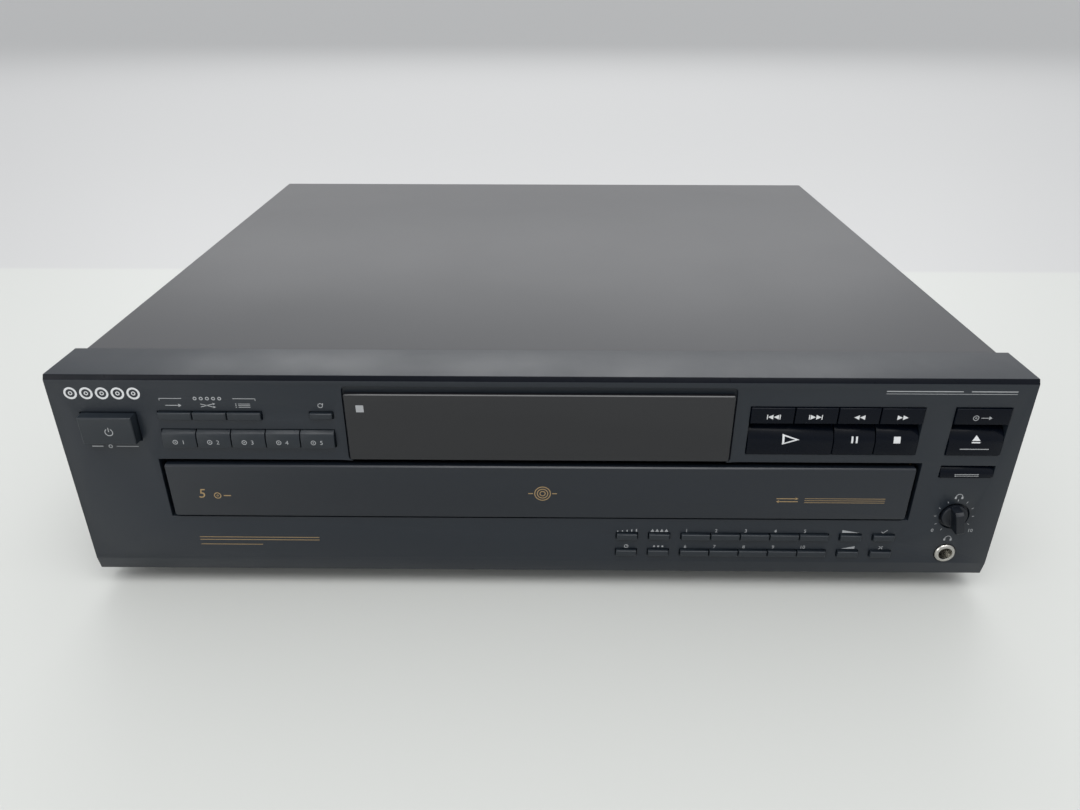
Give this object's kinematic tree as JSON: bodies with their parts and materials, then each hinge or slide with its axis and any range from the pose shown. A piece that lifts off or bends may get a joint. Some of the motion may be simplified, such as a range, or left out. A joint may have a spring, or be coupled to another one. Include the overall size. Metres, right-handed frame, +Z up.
{
  "type": "multi disc cd changer",
  "caption": "Low black disc player with a wide sliding drawer, a disc carousel inside, a smoked display, rows of keys and a headphone jack.",
  "frame": {"origin": "on the ground under the middle of the whole unit", "axes": "+X to the right as seen from the front, +Y to the back, +Z up"},
  "size_m": [0.43, 0.3852, 0.1151],
  "materials": {
    "panel_plastic": "fine satin moulded surface, blue-black",
    "window_pane": "polished smoked pane",
    "cover_steel": "satin black paint on sheet steel",
    "chassis_steel": "thin dark paint on sheet steel",
    "foot_plastic": "matt",
    "frame_plastic": "moulded",
    "motor_metal": "plated can",
    "board_laminate": "phenolic board",
    "transformer_iron": "varnished laminations",
    "socket_plastic": "moulded",
    "jack_metal": "plated ring",
    "tray_plastic": "moulded",
    "door_plastic": "fine satin moulded surface, blue-black",
    "carousel_plastic": "moulded",
    "gear_plastic": "acetal",
    "sled_metal": "cast",
    "knob_plastic": "satin",
    "key_plastic": "satin",
    "gloss_key": "semi-gloss"
  },
  "bodies": {
    "housing": {"front_panel": "panel_plastic", "display_window": "window_pane", "top_cover": "cover_steel", "chassis": "chassis_steel", "feet": "foot_plastic", "mechanism_frame": "frame_plastic", "loading_motor": "motor_metal", "circuit_boards": "board_laminate", "transformer": "transformer_iron", "rear_sockets": "socket_plastic", "phone_jack": "jack_metal"},
    "drawer": {"drawer": "tray_plastic", "drawer_front": "door_plastic", "carousel_motor": "motor_metal"},
    "carousel": {"carousel": "carousel_plastic"},
    "carousel_pinion": {"carousel_pinion": "gear_plastic"},
    "drawer_pinion": {"drawer_pinion": "gear_plastic"},
    "optical_unit": {"optical_unit": "frame_plastic"},
    "disc_spindle": {"disc_spindle": "gear_plastic"},
    "pickup_sled": {"pickup_sled": "sled_metal"},
    "disc_clamp": {"disc_clamp": "gear_plastic"},
    "level_knob": {"level_knob": "knob_plastic"},
    "power_key": {"power_key": "key_plastic"},
    "open_key": {"open_key": "gloss_key"},
    "play_key": {"play_key": "gloss_key"},
    "pause_key": {"pause_key": "gloss_key"},
    "stop_key": {"stop_key": "gloss_key"},
    "previous_key": {"previous_key": "gloss_key"},
    "next_key": {"next_key": "gloss_key"},
    "rewind_key": {"rewind_key": "gloss_key"},
    "forward_key": {"forward_key": "gloss_key"},
    "disc_skip_key": {"disc_skip_key": "gloss_key"},
    "exchange_key": {"exchange_key": "gloss_key"},
    "continue_key": {"continue_key": "key_plastic"},
    "shuffle_key": {"shuffle_key": "key_plastic"},
    "program_key": {"program_key": "key_plastic"},
    "repeat_key": {"repeat_key": "key_plastic"},
    "disc_key_1": {"disc_key_1": "key_plastic"},
    "disc_key_2": {"disc_key_2": "key_plastic"},
    "disc_key_3": {"disc_key_3": "key_plastic"},
    "disc_key_4": {"disc_key_4": "key_plastic"},
    "disc_key_5": {"disc_key_5": "key_plastic"},
    "number_key_1": {"number_key_1": "key_plastic"},
    "number_key_2": {"number_key_2": "key_plastic"},
    "number_key_3": {"number_key_3": "key_plastic"},
    "number_key_4": {"number_key_4": "key_plastic"},
    "number_key_5": {"number_key_5": "key_plastic"},
    "number_key_6": {"number_key_6": "key_plastic"},
    "number_key_7": {"number_key_7": "key_plastic"},
    "number_key_8": {"number_key_8": "key_plastic"},
    "number_key_9": {"number_key_9": "key_plastic"},
    "number_key_10": {"number_key_10": "key_plastic"},
    "scan_key": {"scan_key": "key_plastic"},
    "time_key": {"time_key": "key_plastic"},
    "edit_key": {"edit_key": "key_plastic"},
    "mode_key": {"mode_key": "key_plastic"},
    "fade_key": {"fade_key": "key_plastic"},
    "fader_key": {"fader_key": "key_plastic"},
    "check_key": {"check_key": "key_plastic"},
    "clear_key": {"clear_key": "key_plastic"}
  },
  "joints": [
    {"name": "drawer_slide", "type": "slide", "parent": "housing", "child": "drawer", "axis": [0, -1, 0], "range_m": [0, 0.22]},
    {"name": "carousel_turn", "type": "hinge", "parent": "drawer", "child": "carousel", "pos_m": [0, -0.01045, 0.057], "axis": [0, 0, 1], "continuous": true},
    {"name": "level_turn", "type": "hinge", "parent": "housing", "child": "level_knob", "pos_m": [0.1938, -0.18544, 0.0445], "axis": [0, -1, 0], "range_deg": [-163, 137]},
    {"name": "optical_lift", "type": "slide", "parent": "housing", "child": "optical_unit", "axis": [0, 0, 1], "range_m": [0, 0.022]},
    {"name": "sled_slide", "type": "slide", "parent": "optical_unit", "child": "pickup_sled", "axis": [0, 1, 0], "range_m": [0, 0.033]},
    {"name": "spindle_turn", "type": "hinge", "parent": "optical_unit", "child": "disc_spindle", "pos_m": [0, 0.09354, 0.0395], "axis": [0, 0, 1], "continuous": true},
    {"name": "clamp_turn", "type": "hinge", "parent": "housing", "child": "disc_clamp", "pos_m": [0, 0.09354, 0.0655], "axis": [0, 0, 1], "continuous": true},
    {"name": "drawer_pinion_turn", "type": "hinge", "parent": "housing", "child": "drawer_pinion", "pos_m": [0.17764, -0.08544, 0.0435], "axis": [0, 0, 1], "range_deg": [0, 1051.42]},
    {"name": "carousel_pinion_turn", "type": "hinge", "parent": "drawer", "child": "carousel_pinion", "pos_m": [-0.03486, -0.04629, 0.0458], "axis": [0, 0, 1], "continuous": true},
    {"name": "power_press", "type": "slide", "parent": "housing", "child": "power_key", "axis": [0, 1, 0], "range_m": [0, 0.003], "stiffness_N_per_m": 120, "springref_m": -0.003},
    {"name": "open_press", "type": "slide", "parent": "housing", "child": "open_key", "axis": [0, 1, 0], "range_m": [0, 0.0009], "stiffness_N_per_m": 120, "springref_m": -0.003},
    {"name": "play_press", "type": "slide", "parent": "housing", "child": "play_key", "axis": [0, 1, 0], "range_m": [0, 0.0009], "stiffness_N_per_m": 120, "springref_m": -0.003},
    {"name": "pause_press", "type": "slide", "parent": "housing", "child": "pause_key", "axis": [0, 1, 0], "range_m": [0, 0.0009], "stiffness_N_per_m": 120, "springref_m": -0.003},
    {"name": "stop_press", "type": "slide", "parent": "housing", "child": "stop_key", "axis": [0, 1, 0], "range_m": [0, 0.0009], "stiffness_N_per_m": 120, "springref_m": -0.003},
    {"name": "previous_press", "type": "slide", "parent": "housing", "child": "previous_key", "axis": [0, 1, 0], "range_m": [0, 0.0009], "stiffness_N_per_m": 120, "springref_m": -0.003},
    {"name": "next_press", "type": "slide", "parent": "housing", "child": "next_key", "axis": [0, 1, 0], "range_m": [0, 0.0009], "stiffness_N_per_m": 120, "springref_m": -0.003},
    {"name": "rewind_press", "type": "slide", "parent": "housing", "child": "rewind_key", "axis": [0, 1, 0], "range_m": [0, 0.0009], "stiffness_N_per_m": 120, "springref_m": -0.003},
    {"name": "forward_press", "type": "slide", "parent": "housing", "child": "forward_key", "axis": [0, 1, 0], "range_m": [0, 0.0009], "stiffness_N_per_m": 120, "springref_m": -0.003},
    {"name": "disc_skip_press", "type": "slide", "parent": "housing", "child": "disc_skip_key", "axis": [0, 1, 0], "range_m": [0, 0.0009], "stiffness_N_per_m": 120, "springref_m": -0.003},
    {"name": "exchange_press", "type": "slide", "parent": "housing", "child": "exchange_key", "axis": [0, 1, 0], "range_m": [0, 0.0009], "stiffness_N_per_m": 120, "springref_m": -0.003},
    {"name": "continue_press", "type": "slide", "parent": "housing", "child": "continue_key", "axis": [0, 1, 0], "range_m": [0, 0.0009], "stiffness_N_per_m": 120, "springref_m": -0.003},
    {"name": "shuffle_press", "type": "slide", "parent": "housing", "child": "shuffle_key", "axis": [0, 1, 0], "range_m": [0, 0.0009], "stiffness_N_per_m": 120, "springref_m": -0.003},
    {"name": "program_press", "type": "slide", "parent": "housing", "child": "program_key", "axis": [0, 1, 0], "range_m": [0, 0.0009], "stiffness_N_per_m": 120, "springref_m": -0.003},
    {"name": "repeat_press", "type": "slide", "parent": "housing", "child": "repeat_key", "axis": [0, 1, 0], "range_m": [0, 0.0009], "stiffness_N_per_m": 120, "springref_m": -0.003},
    {"name": "disc_press_1", "type": "slide", "parent": "housing", "child": "disc_key_1", "axis": [0, 1, 0], "range_m": [0, 0.0009], "stiffness_N_per_m": 120, "springref_m": -0.003},
    {"name": "disc_press_2", "type": "slide", "parent": "housing", "child": "disc_key_2", "axis": [0, 1, 0], "range_m": [0, 0.0009], "stiffness_N_per_m": 120, "springref_m": -0.003},
    {"name": "disc_press_3", "type": "slide", "parent": "housing", "child": "disc_key_3", "axis": [0, 1, 0], "range_m": [0, 0.0009], "stiffness_N_per_m": 120, "springref_m": -0.003},
    {"name": "disc_press_4", "type": "slide", "parent": "housing", "child": "disc_key_4", "axis": [0, 1, 0], "range_m": [0, 0.0009], "stiffness_N_per_m": 120, "springref_m": -0.003},
    {"name": "disc_press_5", "type": "slide", "parent": "housing", "child": "disc_key_5", "axis": [0, 1, 0], "range_m": [0, 0.0009], "stiffness_N_per_m": 120, "springref_m": -0.003},
    {"name": "number_press_1", "type": "slide", "parent": "housing", "child": "number_key_1", "axis": [0, 1, 0], "range_m": [0, 0.0009], "stiffness_N_per_m": 120, "springref_m": -0.003},
    {"name": "number_press_2", "type": "slide", "parent": "housing", "child": "number_key_2", "axis": [0, 1, 0], "range_m": [0, 0.0009], "stiffness_N_per_m": 120, "springref_m": -0.003},
    {"name": "number_press_3", "type": "slide", "parent": "housing", "child": "number_key_3", "axis": [0, 1, 0], "range_m": [0, 0.0009], "stiffness_N_per_m": 120, "springref_m": -0.003},
    {"name": "number_press_4", "type": "slide", "parent": "housing", "child": "number_key_4", "axis": [0, 1, 0], "range_m": [0, 0.0009], "stiffness_N_per_m": 120, "springref_m": -0.003},
    {"name": "number_press_5", "type": "slide", "parent": "housing", "child": "number_key_5", "axis": [0, 1, 0], "range_m": [0, 0.0009], "stiffness_N_per_m": 120, "springref_m": -0.003},
    {"name": "number_press_6", "type": "slide", "parent": "housing", "child": "number_key_6", "axis": [0, 1, 0], "range_m": [0, 0.0009], "stiffness_N_per_m": 120, "springref_m": -0.003},
    {"name": "number_press_7", "type": "slide", "parent": "housing", "child": "number_key_7", "axis": [0, 1, 0], "range_m": [0, 0.0009], "stiffness_N_per_m": 120, "springref_m": -0.003},
    {"name": "number_press_8", "type": "slide", "parent": "housing", "child": "number_key_8", "axis": [0, 1, 0], "range_m": [0, 0.0009], "stiffness_N_per_m": 120, "springref_m": -0.003},
    {"name": "number_press_9", "type": "slide", "parent": "housing", "child": "number_key_9", "axis": [0, 1, 0], "range_m": [0, 0.0009], "stiffness_N_per_m": 120, "springref_m": -0.003},
    {"name": "number_press_10", "type": "slide", "parent": "housing", "child": "number_key_10", "axis": [0, 1, 0], "range_m": [0, 0.0009], "stiffness_N_per_m": 120, "springref_m": -0.003},
    {"name": "scan_press", "type": "slide", "parent": "housing", "child": "scan_key", "axis": [0, 1, 0], "range_m": [0, 0.0009], "stiffness_N_per_m": 120, "springref_m": -0.003},
    {"name": "time_press", "type": "slide", "parent": "housing", "child": "time_key", "axis": [0, 1, 0], "range_m": [0, 0.0009], "stiffness_N_per_m": 120, "springref_m": -0.003},
    {"name": "edit_press", "type": "slide", "parent": "housing", "child": "edit_key", "axis": [0, 1, 0], "range_m": [0, 0.0009], "stiffness_N_per_m": 120, "springref_m": -0.003},
    {"name": "mode_press", "type": "slide", "parent": "housing", "child": "mode_key", "axis": [0, 1, 0], "range_m": [0, 0.0009], "stiffness_N_per_m": 120, "springref_m": -0.003},
    {"name": "fade_press", "type": "slide", "parent": "housing", "child": "fade_key", "axis": [0, 1, 0], "range_m": [0, 0.0009], "stiffness_N_per_m": 120, "springref_m": -0.003},
    {"name": "fader_press", "type": "slide", "parent": "housing", "child": "fader_key", "axis": [0, 1, 0], "range_m": [0, 0.0009], "stiffness_N_per_m": 120, "springref_m": -0.003},
    {"name": "check_press", "type": "slide", "parent": "housing", "child": "check_key", "axis": [0, 1, 0], "range_m": [0, 0.0009], "stiffness_N_per_m": 120, "springref_m": -0.003},
    {"name": "clear_press", "type": "slide", "parent": "housing", "child": "clear_key", "axis": [0, 1, 0], "range_m": [0, 0.0009], "stiffness_N_per_m": 120, "springref_m": -0.003}
  ],
  "couplings": [
    {"joint": "drawer_pinion_turn", "follows": "drawer_slide", "rad_per_m": 83.333},
    {"joint": "carousel_pinion_turn", "follows": "carousel_turn", "ratio": -4}
  ]
}
